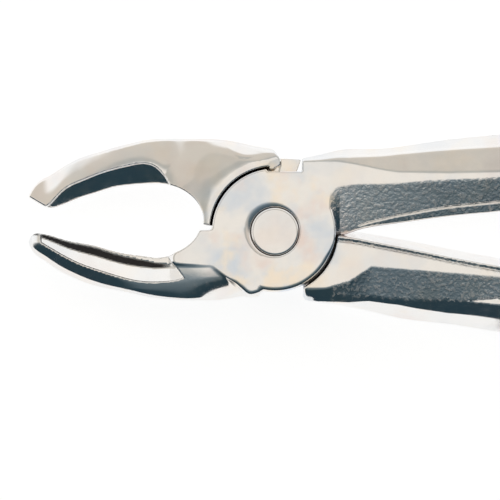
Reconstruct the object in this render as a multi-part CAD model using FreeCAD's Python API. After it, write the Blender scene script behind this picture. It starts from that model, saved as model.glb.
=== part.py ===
import FreeCAD, Part
import math
import os

V = FreeCAD.Vector
BIG = 200.0              # longer than the tool
PAST = 1.0               # how far a cutting shape runs past a face
LOFT_DEGREE = 3
SECTOR_STEP_DEG = 30.0   # longest step of a wedge's outline

# Extraction forceps, in millimetres. The hinge axis is Z, through the origin, which lies on the back
# face of the joint. The beaks point to -X and the handles to +X. The near half has the near plate, the
# lower beak (-Y) and the upper handle (+Y); the far half has the far disc and the other two.

# Joint
JOINT_T = 10.0           # thickness of the closed lap joint
LAP_NEAR = 5.03          # underside of the near plate
LAP_FAR = 4.97           # top of the far disc
NEAR_R = 10.75           # near plate under the upper shoulder
PLATE_WIDE_DEG = (85.0, 188.0)   # where the plate is that wide
NEAR_R_RIGHT = 10.35     # near plate beside the lower shoulder
FAR_R = 10.2             # far disc
SHOULDER_GAP = 0.35      # gap between a plate and the shoulder round it
CLOSED_FACE_DEG = 174.6  # end face of the upper shoulder, where the crown pocket meets the joint
ROOT_FACE_DEG = 180.2    # end face of the lower beak's root
SHOULDER_CUT_DEG = 60.0  # how far round the joint the two end faces are cut free
ROOT_CUT_DEG = 90.0
ROOT_END_X = -3.05       # where the lower beak's root ends beside the far disc
SHOULDER_END_X = -3.9    # where the upper shoulder ends and the hook begins
OPEN_DEG = 17.0          # how far the near half opens from rest
SWEEP_PLAY_DEG = 0.8
NOTCH = (-1.3, 4.6)      # left and right walls of the stop notch in the near plate
NOTCH_FLOOR = 10.2

# Outlines seen from the near side
HOOK = ((-4.1, 9.0), (-4.1, 14.63), (-0.5, 14.0), (0.2, 13.5), (1.0, 12.15), (0.5, 9.0))
HOOK_NIB = ((-0.95, 10.5), (-0.95, 12.0), (0.95, 12.0), (0.5, 11.1), (-0.3, 10.5))
TAB = ((-4.1, 5.0), (-4.1, 14.5), (-1.0, 12.6), (4.2, 12.35), (1.7, 5.0))
NEAR_SHOULDER = ((4.6, 3.0), (4.6, 12.3), (9.5, 13.5), (9.5, 3.0))
NEAR_PLATE_ROOT = (
    (-16.5, -5.2), (-10.5, -5.2), (-5.95, -9.95), (-4.6, -10.95), (-3.05, -10.95), (-3.05, -5.0),
    (0.0, 0.0), (-20.0, -0.07),
)
FAR_SHOULDER = (
    (5.2, -10.2), (4.9, -10.6), (5.0, -11.2), (5.6, -11.9), (7.0, -12.25), (9.5, -12.6), (9.5, -1.2),
)
CROTCH_LAP = ((9.0, -1.0), (12.4, -0.85), (14.0, 0.2), (12.5, 1.2), (9.0, 1.2))
CROTCH_ROOM = ((9.0, -1.6), (12.7, -1.5), (14.8, -0.2), (12.5, 1.8), (9.0, 1.8))

# Screw
HEAD_R = 4.1
HEAD_H = 3.4
SHANK_R = 2.6
THREAD_R = 2.1
SCREW_PLAY = 0.05        # radial play of the head and the shank in the near plate
HEAD_BEVEL = 0.22        # bevels of the head and of its seat
SEAT_BEVEL = 0.25

# Beaks: both are mirror images about the plane Y = BEAK_MID. v is the distance from that plane.
BEAK_MID = 1.9
MIDDLE_LAP = 0.9         # how far the root reaches past that plane
HULL_STEPS = 8           # points of a section's rounded side
# x, outermost v, sideways radius, top z, bottom z, squareness of the section
BEAK_STATIONS = (
    (-42.2, 4.30, 1.6, 3.9, 1.4, 2.0),
    (-41.3, 5.60, 2.6, 4.8, 0.8, 2.0),
    (-38.6, 7.55, 3.9, 5.8, 0.3, 2.0),
    (-35.0, 9.80, 4.4, 6.9, 0.1, 2.0),
    (-30.0, 11.60, 4.6, 8.0, 0.0, 2.0),
    (-25.0, 12.90, 4.9, 8.9, -0.1, 2.1),
    (-20.0, 13.75, 5.6, 9.4, -0.15, 2.2),
    (-15.0, 13.90, 6.8, 9.6, -0.2, 2.4),
    (-10.0, 13.75, 7.6, 9.8, -0.2, 2.7),
    (-5.0, 13.30, 7.6, 9.85, -0.2, 3.2),
    (0.0, 12.50, 7.0, 9.85, -0.2, 4.0),
)
RIM_FOOT = 0.2           # the slanted cut between the rims starts this high
RIM_BACK = 1.5           # and reaches this far into the pocket
# x, v of the far rim, v of the near rim
RIM_STATIONS = (
    (-43.0, 1.5, 1.9),
    (-40.0, 2.0, 2.8),
    (-36.0, 2.9, 5.3),
    (-31.0, 4.6, 7.6),
    (-26.0, 5.8, 9.0),
    (-21.5, 6.3, 9.7),
    (-18.5, 6.3, 8.4),
    (-17.0, 5.9, 6.0),
)
CHANNEL_POINTS = 12      # points of the channel's round section
# x, v of the channel's middle, z, sideways radius, upright radius
CHANNEL_STATIONS = (
    (-41.0, 2.2, 2.9, 0.9, 0.9),
    (-38.6, 3.4, 3.2, 2.3, 1.7),
    (-35.0, 5.3, 3.6, 2.9, 2.3),
    (-30.0, 7.0, 4.1, 3.2, 2.8),
    (-25.0, 7.9, 4.6, 3.3, 3.2),
    (-20.5, 7.9, 4.9, 2.9, 3.2),
    (-17.6, 7.2, 5.2, 1.5, 2.0),
)
# Crown pocket between the beaks, (x, v), from the tips to the crotch
POCKET = (
    (-43.5, 1.0),
    (-41.5, 1.65),
    (-38.6, 2.2),
    (-35.0, 3.3),
    (-30.0, 5.0),
    (-25.0, 6.0),
    (-20.5, 6.3),
    (-17.5, 5.8),
    (-15.0, 4.5),
    (-13.3, 2.6),
)
POCKET_END_X = -12.3
POCKET_END_DROP = 0.4    # the crotch lies this far below the plane Y = BEAK_MID

# Handles: x, inner y, outer y, height, shaping. The section is a plain block where shaping is 0 and has
# its full facets where shaping is 1.
NEAR_HANDLE = (
    (7.0, -0.5, 13.0, 10.1, 0.15),
    (9.5, -0.2, 13.5, 10.1, 0.3),
    (12.0, 0.1, 14.0, 10.1, 0.55),
    (14.5, 0.5, 14.2, 10.1, 0.8),
    (17.5, 0.9, 14.2, 10.0, 0.97),
    (21.0, 1.4, 14.5, 10.0, 1.0),
    (28.0, 2.2, 15.6, 9.9, 1.0),
    (38.0, 3.3, 16.7, 9.7, 1.0),
    (55.0, 6.2, 19.0, 9.3, 1.0),
    (75.0, 9.4, 21.2, 8.9, 1.0),
    (95.0, 11.3, 22.0, 8.6, 1.0),
    (113.0, 11.4, 21.3, 8.4, 1.0),
    (122.0, 10.9, 20.5, 8.25, 1.0),
    (126.0, 10.5, 20.1, 8.2, 1.0),
    (127.3, 10.4, 20.0, 8.2, 1.0),
)
FAR_HANDLE = (
    (7.0, -0.1, 12.1, 10.1, 0.15),
    (9.5, 0.1, 12.6, 10.1, 0.3),
    (12.0, 0.4, 13.0, 10.1, 0.55),
    (14.5, 0.6, 13.5, 10.1, 0.8),
    (17.5, 0.8, 14.2, 10.0, 0.97),
    (21.0, 1.3, 14.9, 10.0, 1.0),
    (28.0, 2.6, 15.8, 9.9, 1.0),
    (38.0, 4.4, 17.3, 9.7, 1.0),
    (55.0, 7.1, 19.6, 9.3, 1.0),
    (75.0, 10.1, 21.8, 8.9, 1.0),
    (95.0, 11.9, 22.5, 8.6, 1.0),
    (113.0, 11.9, 21.7, 8.4, 1.0),
    (122.0, 11.3, 20.8, 8.25, 1.0),
    (126.0, 10.9, 20.4, 8.2, 1.0),
    (127.3, 10.8, 20.3, 8.2, 1.0),
)
# The handle's section for a width of 1. CROWN runs over the crowned face from the inside out: share of the
# width, drop below the crown. BACK runs back over the flatter face: share of the width, rise above it.
CROWN = ((0.0, 4.6), (0.11, 1.55), (0.47, 0.0), (0.57, 0.0), (0.86, 1.0), (1.0, 4.1))
BACK = ((0.81, 2.8), (0.54, 0.85), (0.34, 0.0), (0.235, 0.0))
# The same ten corners on a plain block: share of the width and of the height.
BLOCK = (
    (0.0, 0.5), (0.0, 1.0), (0.4, 1.0), (0.6, 1.0), (1.0, 1.0), (1.0, 0.5),
    (1.0, 0.0), (0.6, 0.0), (0.3, 0.0), (0.0, 0.0),
)
BACK_TRIM = 0.12         # what is ground off the back, so that it lies in one plane
HANDLE_ROUND = 0.45
# x and scale of the rounded handle end
END_CAP = ((128.3, 0.97), (129.3, 0.9), (130.4, 0.76), (131.2, 0.5))


def prism(points, low, high):
    """An upright prism over a polygon."""
    corners = [V(x, y, low) for x, y in points]
    face = Part.Face(Part.makePolygon(corners + [corners[0]]))
    return face.extrude(V(0, 0, high - low))


def joined(shape, *others):
    """The shape with each of the others fused on in turn."""
    for other in others:
        shape = shape.fuse(other)
    return shape


def disc(radius, low, high):
    """An upright round disc about the hinge axis."""
    return Part.makeCylinder(radius, high - low, V(0, 0, low))


def ray(radius, degrees):
    """A point at this radius and angle round the hinge axis."""
    turn = math.radians(degrees)
    return (radius * math.cos(turn), radius * math.sin(turn))


def loft(wires):
    """A solid through the wires, right side out."""
    solid = Part.makeLoft(wires, True, False, False, LOFT_DEGREE)
    if solid.Volume < 0:
        solid.reverse()
    return solid


def rounded_wire(points, radius):
    """A closed wire through the points with every corner rounded."""
    count = len(points)
    starts = []
    ends = []
    middles = []
    for index, corner in enumerate(points):
        before = (points[index - 1] - corner).normalize()
        after = (points[(index + 1) % count] - corner).normalize()
        half = before.getAngle(after) / 2
        reach = radius / math.tan(half)
        inward = (before + after).normalize()
        starts.append(corner + before * reach)
        ends.append(corner + after * reach)
        middles.append(corner + inward * (radius / math.sin(half) - radius))
    edges = []
    for index in range(count):
        arc = Part.Arc(starts[index], middles[index], ends[index])
        edges.append(arc.toShape())
        edges.append(Part.makeLine(ends[index], starts[(index + 1) % count]))
    return Part.Wire(edges)


def handle_points(x, inner, outer, height, shaping):
    """The corners of the upper handle's section at x."""
    facets = [(share, height - drop) for share, drop in CROWN]
    facets += [(share, rise - BACK_TRIM) for share, rise in BACK]
    block = [(share, level * (height + BACK_TRIM) - BACK_TRIM) for share, level in BLOCK]
    points = []
    for (share, z), (block_share, block_z) in zip(facets, block):
        across = block_share + shaping * (share - block_share)
        rise = block_z + shaping * (z - block_z)
        points.append(V(x, inner + across * (outer - inner), rise))
    return points


def handle(stations):
    """An upper handle lofted from its root block to its rounded end."""
    wires = []
    for x, inner, outer, height, shaping in stations:
        points = handle_points(x, inner, outer, height, shaping)
        wires.append(rounded_wire(points, HANDLE_ROUND))
    x, inner, outer, height, shaping = stations[-1]
    last = handle_points(x, inner, outer, height, shaping)
    middle = V(x, (inner + outer) / 2, height / 2)
    for cap_x, scale in END_CAP:
        step = V(cap_x - x, 0, 0)
        points = [middle + (point - middle) * scale + step for point in last]
        wires.append(rounded_wire(points, HANDLE_ROUND * scale))
    return loft(wires)


def hull_wire(x, outer, radius, top, bottom, squareness):
    """A section of the beak and its root: rounded outside, filled to the middle of the tool."""
    middle_z = (top + bottom) / 2
    half = (top - bottom) / 2
    middle_v = outer - radius
    curve = []
    for index in range(HULL_STEPS + 1):
        turn = math.pi * index / HULL_STEPS
        side = math.sin(turn) ** (2 / squareness) if 0 < index < HULL_STEPS else 0.0
        rise = math.copysign(abs(math.cos(turn)) ** (2 / squareness), math.cos(turn))
        if index * 2 == HULL_STEPS:
            rise = 0.0
        curve.append(V(x, BEAK_MID + middle_v + radius * side, middle_z + half * rise))
    spline = Part.BSplineCurve()
    spline.interpolate(Points=curve, InitialTangent=V(0, 1, 0), FinalTangent=V(0, -1, 0))
    inner_low = V(x, BEAK_MID - MIDDLE_LAP, bottom)
    inner_high = V(x, BEAK_MID - MIDDLE_LAP, top)
    edges = [
        spline.toShape(),
        Part.makeLine(curve[-1], inner_low),
        Part.makeLine(inner_low, inner_high),
        Part.makeLine(inner_high, curve[0]),
    ]
    return Part.Wire(edges)


def beak_hull():
    """The upper beak and its root without pocket, channel or joint."""
    wires = [hull_wire(*station) for station in BEAK_STATIONS]
    return loft(wires)


def crown_pocket():
    """The space between the beaks, with upright walls."""
    upper = [V(x, BEAK_MID + v, -PAST) for x, v in POCKET]
    lower = [V(x, BEAK_MID - v, -PAST) for x, v in reversed(POCKET)]
    crotch = V(POCKET_END_X, BEAK_MID - POCKET_END_DROP, -PAST)
    curve = Part.BSplineCurve()
    curve.interpolate(upper + [crotch] + lower)
    mouth = Part.makeLine(lower[-1], upper[0])
    return Part.Face(Part.Wire([curve.toShape(), mouth])).extrude(V(0, 0, JOINT_T + 2 * PAST))


def rim_cut():
    """What is cut from the upper beak's inside, so that its near rim stands back from the far rim."""
    wires = []
    for x, far_v, near_v in RIM_STATIONS:
        corners = [
            V(x, BEAK_MID + far_v - RIM_BACK, RIM_FOOT),
            V(x, BEAK_MID + far_v, RIM_FOOT),
            V(x, BEAK_MID + near_v, JOINT_T + PAST),
            V(x, BEAK_MID + far_v - RIM_BACK, JOINT_T + PAST),
        ]
        wires.append(Part.makePolygon(corners + [corners[0]]))
    return loft(wires)


def channel_cut():
    """The gouge channel of the upper beak."""
    wires = []
    for x, v, z, radius_v, radius_z in CHANNEL_STATIONS:
        middle = V(x, BEAK_MID + v, z)
        ring = []
        for index in range(CHANNEL_POINTS):
            turn = 2 * math.pi * index / CHANNEL_POINTS
            ring.append(middle + V(0, radius_v * math.cos(turn), radius_z * math.sin(turn)))
        curve = Part.BSplineCurve()
        curve.interpolate(Points=ring, PeriodicFlag=True)
        wires.append(Part.Wire(curve.toShape()))
    return loft(wires)


def upper_beak():
    """The upper beak with its root, before the joint is cut."""
    beak = beak_hull().cut(crown_pocket())
    beak = beak.cut(rim_cut())
    return beak.cut(channel_cut())


def mirrored(shape):
    """The same shape on the other side of the beaks' middle plane."""
    return shape.mirror(V(0, BEAK_MID, 0), V(0, 1, 0))


def sector(radius, from_degrees, to_degrees):
    """An upright wedge round the hinge axis, through the whole joint."""
    steps = max(2, math.ceil((to_degrees - from_degrees) / SECTOR_STEP_DEG))
    points = [(0.0, 0.0)]
    for index in range(steps + 1):
        points.append(ray(radius, from_degrees + (to_degrees - from_degrees) * index / steps))
    return prism(points, -PAST, JOINT_T + PAST)


def turned_over(shape):
    """The shape turned half a turn about X through the middle of the joint."""
    copy = shape.copy()
    copy.rotate(V(0, 0, JOINT_T / 2), V(1, 0, 0), 180)
    return copy


def left_of(shape, x):
    """What lies at less than this x."""
    return shape.common(Part.makeBox(BIG, BIG, BIG, V(x - BIG, -BIG / 2, -BIG / 2)))


def ground_flat(shape):
    """The shape with its back and its joint face ground flat."""
    return shape.common(Part.makeBox(2 * BIG, BIG, JOINT_T, V(-BIG, -BIG / 2, 0)))


def plate_zone(play, low, high):
    """The near plate's round outline, grown by a play: wider under the upper shoulder."""
    wide = disc(NEAR_R + play, low, high).common(sector(BIG, PLATE_WIDE_DEG[0], PLATE_WIDE_DEG[1]))
    return disc(NEAR_R_RIGHT + play, low, high).fuse(wide)


def far_half(beak):
    """The far half: far disc, upper beak with the stop hook, lower handle."""
    root = left_of(beak, SHOULDER_END_X)
    root = root.cut(sector(BIG, CLOSED_FACE_DEG, CLOSED_FACE_DEG + SHOULDER_CUT_DEG))
    arm = turned_over(handle(FAR_HANDLE))
    body = joined(root, arm, prism(FAR_SHOULDER, 0, JOINT_T), prism(HOOK, 0, JOINT_T))
    body = ground_flat(body).cut(plate_zone(SHOULDER_GAP, LAP_FAR, JOINT_T + PAST))
    body = body.cut(prism(CROTCH_ROOM, LAP_FAR, JOINT_T + PAST))
    lap = turned_over(prism(CROTCH_LAP, LAP_NEAR, JOINT_T))
    nib = prism(HOOK_NIB, LAP_NEAR, JOINT_T)
    body = joined(body, disc(FAR_R, 0, LAP_FAR), prism(TAB, 0, LAP_FAR), nib, lap)
    return body.cut(disc(THREAD_R, -PAST, JOINT_T))


def screw_seat():
    """The stepped hole in the near plate."""
    seat_floor = JOINT_T - HEAD_H - SCREW_PLAY
    mouth_r = HEAD_R + SCREW_PLAY
    hole = disc(SHANK_R + SCREW_PLAY, 0, JOINT_T)
    hole = hole.fuse(disc(mouth_r, seat_floor, JOINT_T + PAST))
    low = V(0, 0, JOINT_T - SEAT_BEVEL)
    return hole.fuse(Part.makeCone(mouth_r, mouth_r + 2 * SEAT_BEVEL, 2 * SEAT_BEVEL, low))


def near_half(beak):
    """The near half: near plate, lower beak, upper handle."""
    root = left_of(mirrored(beak), ROOT_END_X)
    root = root.cut(sector(BIG, ROOT_FACE_DEG - ROOT_CUT_DEG, ROOT_FACE_DEG))
    body = joined(root, handle(NEAR_HANDLE), prism(NEAR_SHOULDER, 0, JOINT_T))
    tab_deg = math.degrees(math.atan2(TAB[3][1], TAB[3][0]))
    far_void = disc(FAR_R + SHOULDER_GAP, -PAST, LAP_NEAR)
    sweep = sector(BIG, tab_deg - OPEN_DEG - SWEEP_PLAY_DEG, ROOT_FACE_DEG)
    far_void = far_void.fuse(sweep.common(Part.makeBox(BIG, BIG, LAP_NEAR, V(-BIG / 2, -BIG / 2, 0))))
    body = ground_flat(body).cut(far_void)
    body = body.cut(turned_over(prism(CROTCH_ROOM, LAP_FAR, JOINT_T + PAST)))
    plate = plate_zone(0, LAP_NEAR, JOINT_T)
    skirt = prism(NEAR_PLATE_ROOT, LAP_NEAR, JOINT_T).cut(crown_pocket())
    body = joined(body, plate, skirt, prism(CROTCH_LAP, LAP_NEAR, JOINT_T))
    left, right = NOTCH
    notch = Part.makeBox(right - left, BIG, BIG, V(left, NOTCH_FLOOR, LAP_FAR))
    return body.cut(notch).cut(screw_seat())


def joint_screw():
    """The slotless screw: round head, shank through the near plate, foot held in the far disc."""
    top = JOINT_T
    head = disc(HEAD_R, top - HEAD_H, top - HEAD_BEVEL)
    crown = Part.makeCone(HEAD_R, HEAD_R - HEAD_BEVEL, HEAD_BEVEL, V(0, 0, top - HEAD_BEVEL))
    shank = disc(SHANK_R, LAP_NEAR, top - HEAD_H)
    foot = disc(THREAD_R, 0, LAP_NEAR)
    return joined(head, crown, shank, foot)


def save(shape, node):
    """Writes one sub-part."""
    shape.Solids[0].exportStep("parts/" + node + ".step")


def main():
    """Builds and writes every sub-part."""
    os.makedirs("parts", exist_ok=True)
    beak = upper_beak()
    save(near_half(beak), "near_half")
    save(far_half(beak), "far_half")
    save(joint_screw(), "joint_screw")


if __name__ == "__main__":
    main()
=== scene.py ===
import math

import bpy
import numpy as np
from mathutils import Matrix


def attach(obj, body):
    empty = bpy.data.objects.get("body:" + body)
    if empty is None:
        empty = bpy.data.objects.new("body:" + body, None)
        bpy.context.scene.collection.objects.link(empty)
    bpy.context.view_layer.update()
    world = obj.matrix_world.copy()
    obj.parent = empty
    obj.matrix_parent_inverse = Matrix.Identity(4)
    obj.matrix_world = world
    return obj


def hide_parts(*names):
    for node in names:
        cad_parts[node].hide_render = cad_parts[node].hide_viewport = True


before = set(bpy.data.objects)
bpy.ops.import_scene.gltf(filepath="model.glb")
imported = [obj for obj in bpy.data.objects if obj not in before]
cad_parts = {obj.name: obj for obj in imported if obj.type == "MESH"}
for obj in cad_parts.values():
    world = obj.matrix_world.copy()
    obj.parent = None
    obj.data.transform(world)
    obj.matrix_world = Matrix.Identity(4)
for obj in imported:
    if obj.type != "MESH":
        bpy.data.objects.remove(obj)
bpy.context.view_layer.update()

MM = 0.001

# ---------------------------------------------------------------- sizes, in millimetres
# The hinge axis is z through the origin, the beaks point to -x, and z = 0 is the joint's back face.

JOINT_T = 10.0
LAP_NEAR = 5.03          # underside of the near plate
LAP_FAR = 4.97           # top of the far disc
PLATE_R = 10.35          # near plate beside the lower shoulder
PLATE_R_WIDE = 10.75     # near plate under the upper shoulder
PLATE_WIDE_DEG = (30, 75, 190, 215)
FAR_R = 10.2
SHOULDER_GAP = 0.35
CLOSED_FACE_DEG = 174.6  # end face of the upper shoulder
SWEEP_DEG = 52.5         # how far round the joint the near half is cut free of the far one
BEAK_MID = 1.9           # plane between the beaks
ROOT_END_X = -3.05       # where both roots end beside the joint
ROOT_TOP_Y = -0.05
NEAR_ARM_FROM_X = 1.0
FAR_ARM_FROM_X = 4.8
FAR_PARTS_MEET_X = 3.0   # the far arm lies right of here, the far root left

# Outlines of the stop, as counter-clockwise corners (x, y)
NOTCH = ((-1.3, 10.2), (4.6, 10.2), (4.6, 20.0), (-1.3, 20.0))
HOOK = ((-6.0, 9.0), (0.4, 9.0), (1.05, 12.1), (0.3, 13.6), (-0.6, 14.6), (-6.0, 17.0))
TAB = ((-4.1, 5.0), (1.85, 5.0), (4.5, 12.3), (-4.1, 12.75))
NIB = ((-0.95, 10.5), (-0.3, 10.5), (0.5, 11.1), (0.95, 12.0), (-0.95, 12.0))

# The near plate's skirt over the lower beak's root
SKIRT_Y = -5.2
SKIRT_END_X = -17.2
SKIRT_CORNER = ((-10.5, -5.2), (-5.95, -9.95), (-4.9, -10.95), (-3.6, -11.05), (-2.0, -10.3),
                (-2.0, 0.0), (-10.5, 0.0))

# Widths over which two faces blend at an edge
SHARP = 0.1
BROKEN = 0.15
EASED = 0.3
SOFT = 0.4
SKIRT_ROUND = 0.35
BLUNT = 0.5
WIDE = 0.8
FINE_ROUND = 0.2
PLATE_EDGE = 0.45        # the near plate's rim
PLATE_EDGE_MORE = 0.85   # added to it below the joint and to the right
PLATE_EDGE_Y = (-5.0, -1.0)
PLATE_EDGE_X = (-8.5, -5.0)
ROOT_FILLET = 1.1        # between the near plate and the lower root
FACE_ABOVE = 0.025       # keeps that fillet below the plate's face
FACE_ROUND = 0.14

# Screw and its seat
HEAD_R = 4.1
HEAD_H = 3.4
HEAD_ROUND = 0.528
SCREW_PLAY = 0.05
SEAT_R = 4.15
SEAT_CONE_AT = (-0.16, 0.05)
SEAT_CONE = 0.3          # width of the countersink around the head
SEAT_FALL = 0.7
WORN_AT = (-0.75, 0.6)   # shallow wear on one side of the countersink
WORN_WIDTH = 0.3
WORN_FALL = 0.28
SHANK_HOLE_R = 2.65
FOOT_R = 2.1
STEM_TOP_DROP = 1.0      # the shank ends this far below the head's face

# Grid of the mesher
CELL = 0.22              # at the beaks and the joint
CELL_HANDLE = 1.1        # along the handles
CELL_GROWTH = 1.05
CELL_END = 0.35          # at the handles' ends
END_LENGTH = 7.0
HANDLE_FROM_X = 20.0
SLABS = 24               # the shapes are worked out in this many slices
FAR_AWAY = 9.0           # distance given for a part that is out of reach
SLOPE_STEP = 0.01        # for working out how steep a distance is
LEAST_STEEP = 0.05
PULL_ROUNDS = 3          # how often points are pulled onto the surface
RELAX_ROUNDS = 2
RELAX_PULLS = 2
SMALL = 1e-6             # keeps divisions from zero
TINY = 1e-9
CORNERS = [(i, j, k) for i in (0, 1) for j in (0, 1) for k in (0, 1)]    # of a grid cell
NEAR_BOX = ((-43.5, -13.0, -0.6), (133.0, 23.5, 10.6))
FAR_BOX = ((-43.5, -24.0, -0.6), (133.0, 17.0, 10.6))
SCREW_BOX = ((-4.6, -4.6, -0.5), (4.6, 4.6, 10.5))

# Beaks. Each knot is (x, value); v is the distance from the plane y = BEAK_MID.
#   outer, far_rim, near_rim   outlines, as v
#   radius                     width of the rounded back
#   top, edge, slope, bend     height of the face, and where and how steeply it falls away
#   rim, roll                  how the face's last stretch turns over
#   lip, rise                  height of the channel's floor at the far rim, and its slope
#   lip_share, ditch_share     where that floor first falls and where it is lowest, by the channel's width
#   tip, channel_end           straight ends, from one point (x, y) to another
UPPER = dict(
    sign=1.0,
    outer=((-42.6, 3.4), (-41.3, 5.67), (-38.6, 7.7), (-35.9, 9.4), (-33.2, 10.75), (-30.4, 11.65),
           (-27.7, 12.45), (-25.0, 13.15), (-22.3, 13.75), (-16.8, 14.0), (-12.7, 14.0), (-7.6, 13.65),
           (-4.2, 12.98), (-0.85, 12.45), (1.5, 12.2)),
    radius=((-42.6, 0.9), (-38.6, 1.1), (-33.0, 1.2), (-22.0, 1.3), (-12.0, 1.6), (1.5, 2.0)),
    top=((-42.6, 4.5), (-38.6, 5.45), (-35.0, 6.2), (-30.0, 7.05), (-25.0, 7.6), (-20.0, 8.0),
         (-17.0, 8.55), (-14.5, 9.15), (-12.0, 9.75), (-9.5, 10.0), (1.5, 10.0)),
    far_rim=((-43.0, 1.5), (-41.0, 1.75), (-38.6, 2.0), (-35.9, 2.85), (-33.2, 3.95), (-30.4, 4.8),
             (-27.7, 5.65), (-25.0, 6.05), (-22.0, 6.3), (-20.5, 6.35)),
    near_rim=((-43.0, 2.3), (-39.1, 2.3), (-36.5, 4.9), (-33.2, 6.75), (-29.8, 8.1), (-24.7, 9.45),
              (-22.1, 9.75), (-20.1, 8.95), (-18.2, 6.6), (-17.0, 4.3), (-15.8, 1.0), (-14.5, -4.0)),
    edge=((-43.0, 2.4), (-39.1, 2.6), (-36.5, 4.9), (-33.2, 6.75), (-29.8, 8.1), (-24.7, 9.4),
          (-22.1, 9.3), (-20.0, 8.2), (-18.3, 6.4), (-16.5, 5.6), (-14.0, 7.0), (-12.0, 8.8),
          (-9.0, 10.0), (-4.0, 10.1), (1.5, 10.5)),
    slope=((-43.0, 0.2), (-36.0, 0.19), (-22.0, 0.22), (-17.0, 0.2), (-14.0, 0.22), (-11.0, 0.4),
           (-8.0, 0.5), (-4.0, 0.5), (1.5, 0.2)),
    bend=((-43.0, 0.0), (-38.0, 0.022), (-28.0, 0.03), (-22.0, 0.022), (-17.0, 0.006), (-14.0, 0.005),
          (-10.0, 0.02), (1.5, 0.02)),
    lip=((-43.0, 1.1), (-38.6, 1.3), (-30.0, 1.6), (-22.0, 1.8), (-17.0, 1.8)),
    rise=0.58,
    tip=((-42.2, 5.87), (-39.1, 4.0)),
    tip_round=0.8,
    channel_from=-43.0,
    channel_end=((-15.0, 3.0), (-14.0, 15.0)),
)
LOWER = dict(
    sign=-1.0,
    outer=((-42.6, 4.6), (-41.3, 5.7), (-39.9, 6.6), (-37.2, 8.45), (-34.5, 9.8), (-31.8, 10.85),
           (-29.1, 11.55), (-25.0, 12.4), (-22.3, 13.0), (-19.5, 13.4), (-16.8, 13.6), (-12.7, 13.7),
           (-7.6, 13.35), (-5.9, 13.0), (-3.0, 12.85)),
    radius=((-42.6, 1.5), (-38.6, 1.6), (-33.0, 1.7), (-22.0, 1.8), (-12.0, 2.0), (-3.0, 2.2)),
    top=((-42.6, 4.0), (-38.6, 5.4), (-35.0, 6.4), (-30.0, 7.6), (-25.0, 8.6), (-20.0, 9.2),
         (-16.5, 9.85), (-15.0, 10.0), (-3.0, 10.0)),
    far_rim=((-43.0, 2.4), (-41.3, 2.2), (-38.6, 2.5), (-35.9, 3.3), (-33.2, 3.85), (-30.4, 4.4),
             (-27.7, 5.2), (-25.0, 5.75), (-22.3, 6.1), (-20.5, 6.35)),
    near_rim=((-43.0, 2.6), (-40.5, 3.5), (-38.6, 4.55), (-35.9, 6.1), (-33.2, 7.4), (-29.1, 8.8),
              (-25.0, 10.0), (-22.3, 10.45), (-18.5, 10.4), (-16.5, 10.1), (-15.0, 9.6), (-13.0, 9.0)),
    edge=((-43.0, 3.9), (-41.0, 3.7), (-38.6, 4.2), (-35.9, 5.6), (-33.2, 6.8), (-29.1, 8.2),
          (-25.0, 9.4), (-22.3, 9.7), (-19.0, 8.9), (-16.0, 7.3), (-13.0, 6.8), (-3.0, 6.6)),
    slope=((-43.0, 0.4), (-36.0, 0.4), (-29.0, 0.38), (-24.0, 0.34), (-20.0, 0.27), (-17.0, 0.2),
           (-3.0, 0.185)),
    bend=((-43.0, 0.02), (-24.0, 0.025), (-18.0, 0.012), (-3.0, 0.01)),
    roll=((-43.0, 0.6), (-30.0, 0.6), (-25.0, 0.34), (-21.0, 0.12), (-17.5, 0.06), (-14.5, 0.06),
          (-12.0, 0.12), (-9.5, 0.19), (-3.0, 0.2)),
    rim=((-43.0, 1.2), (-30.0, 1.0), (-24.0, 1.1), (-19.0, 2.4), (-15.0, 3.6), (-3.0, 3.7)),
    lip=((-43.0, 3.0), (-38.6, 4.0), (-30.0, 5.4), (-22.0, 6.3), (-15.0, 6.4)),
    lip_share=((-43.0, 0.06), (-28.0, 0.08), (-22.0, 0.15), (-18.0, 0.25)),
    ditch_share=0.43,
    rise=0.6,
    tip=((-42.2, -1.9), (-42.2, -4.0)),
    tip_round=2.0,
    channel_from=-40.0,
    channel_end=((-15.5, -7.9), (-17.5, -5.2)),
)

BEAK_SQUARENESS = 3.0    # exponent of a beak's rounded section
NARROWEST = 0.3          # least width of a channel
POCKET_MID_X = -20.5     # the crown pocket is an oval from here to the crotch
POCKET_RX = 8.25
DITCH_FALL = 0.38        # slope from the lower beak's lip into its channel
BAND_R = 12.3            # flat bright band around the joint on the upper shoulder
BAND_FALL = 0.25
BAND_REACH = 8.8         # how far the shoulder falls away beyond the band, on the beak's side
BAND_REACH_TOP = 0.9     # and above the joint
BAND_TURN_X = (-13.0, -4.5)
HOOK_FALL = 0.14         # slope of the stop hook's worn end
HOOK_WORN_LINE = ((-4.6, 10.0), (-0.48, 13.9))
HOOK_WORN_X = (-4.6, -2.6)
HOOK_WORN_Y = (9.0, 9.6)

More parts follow.
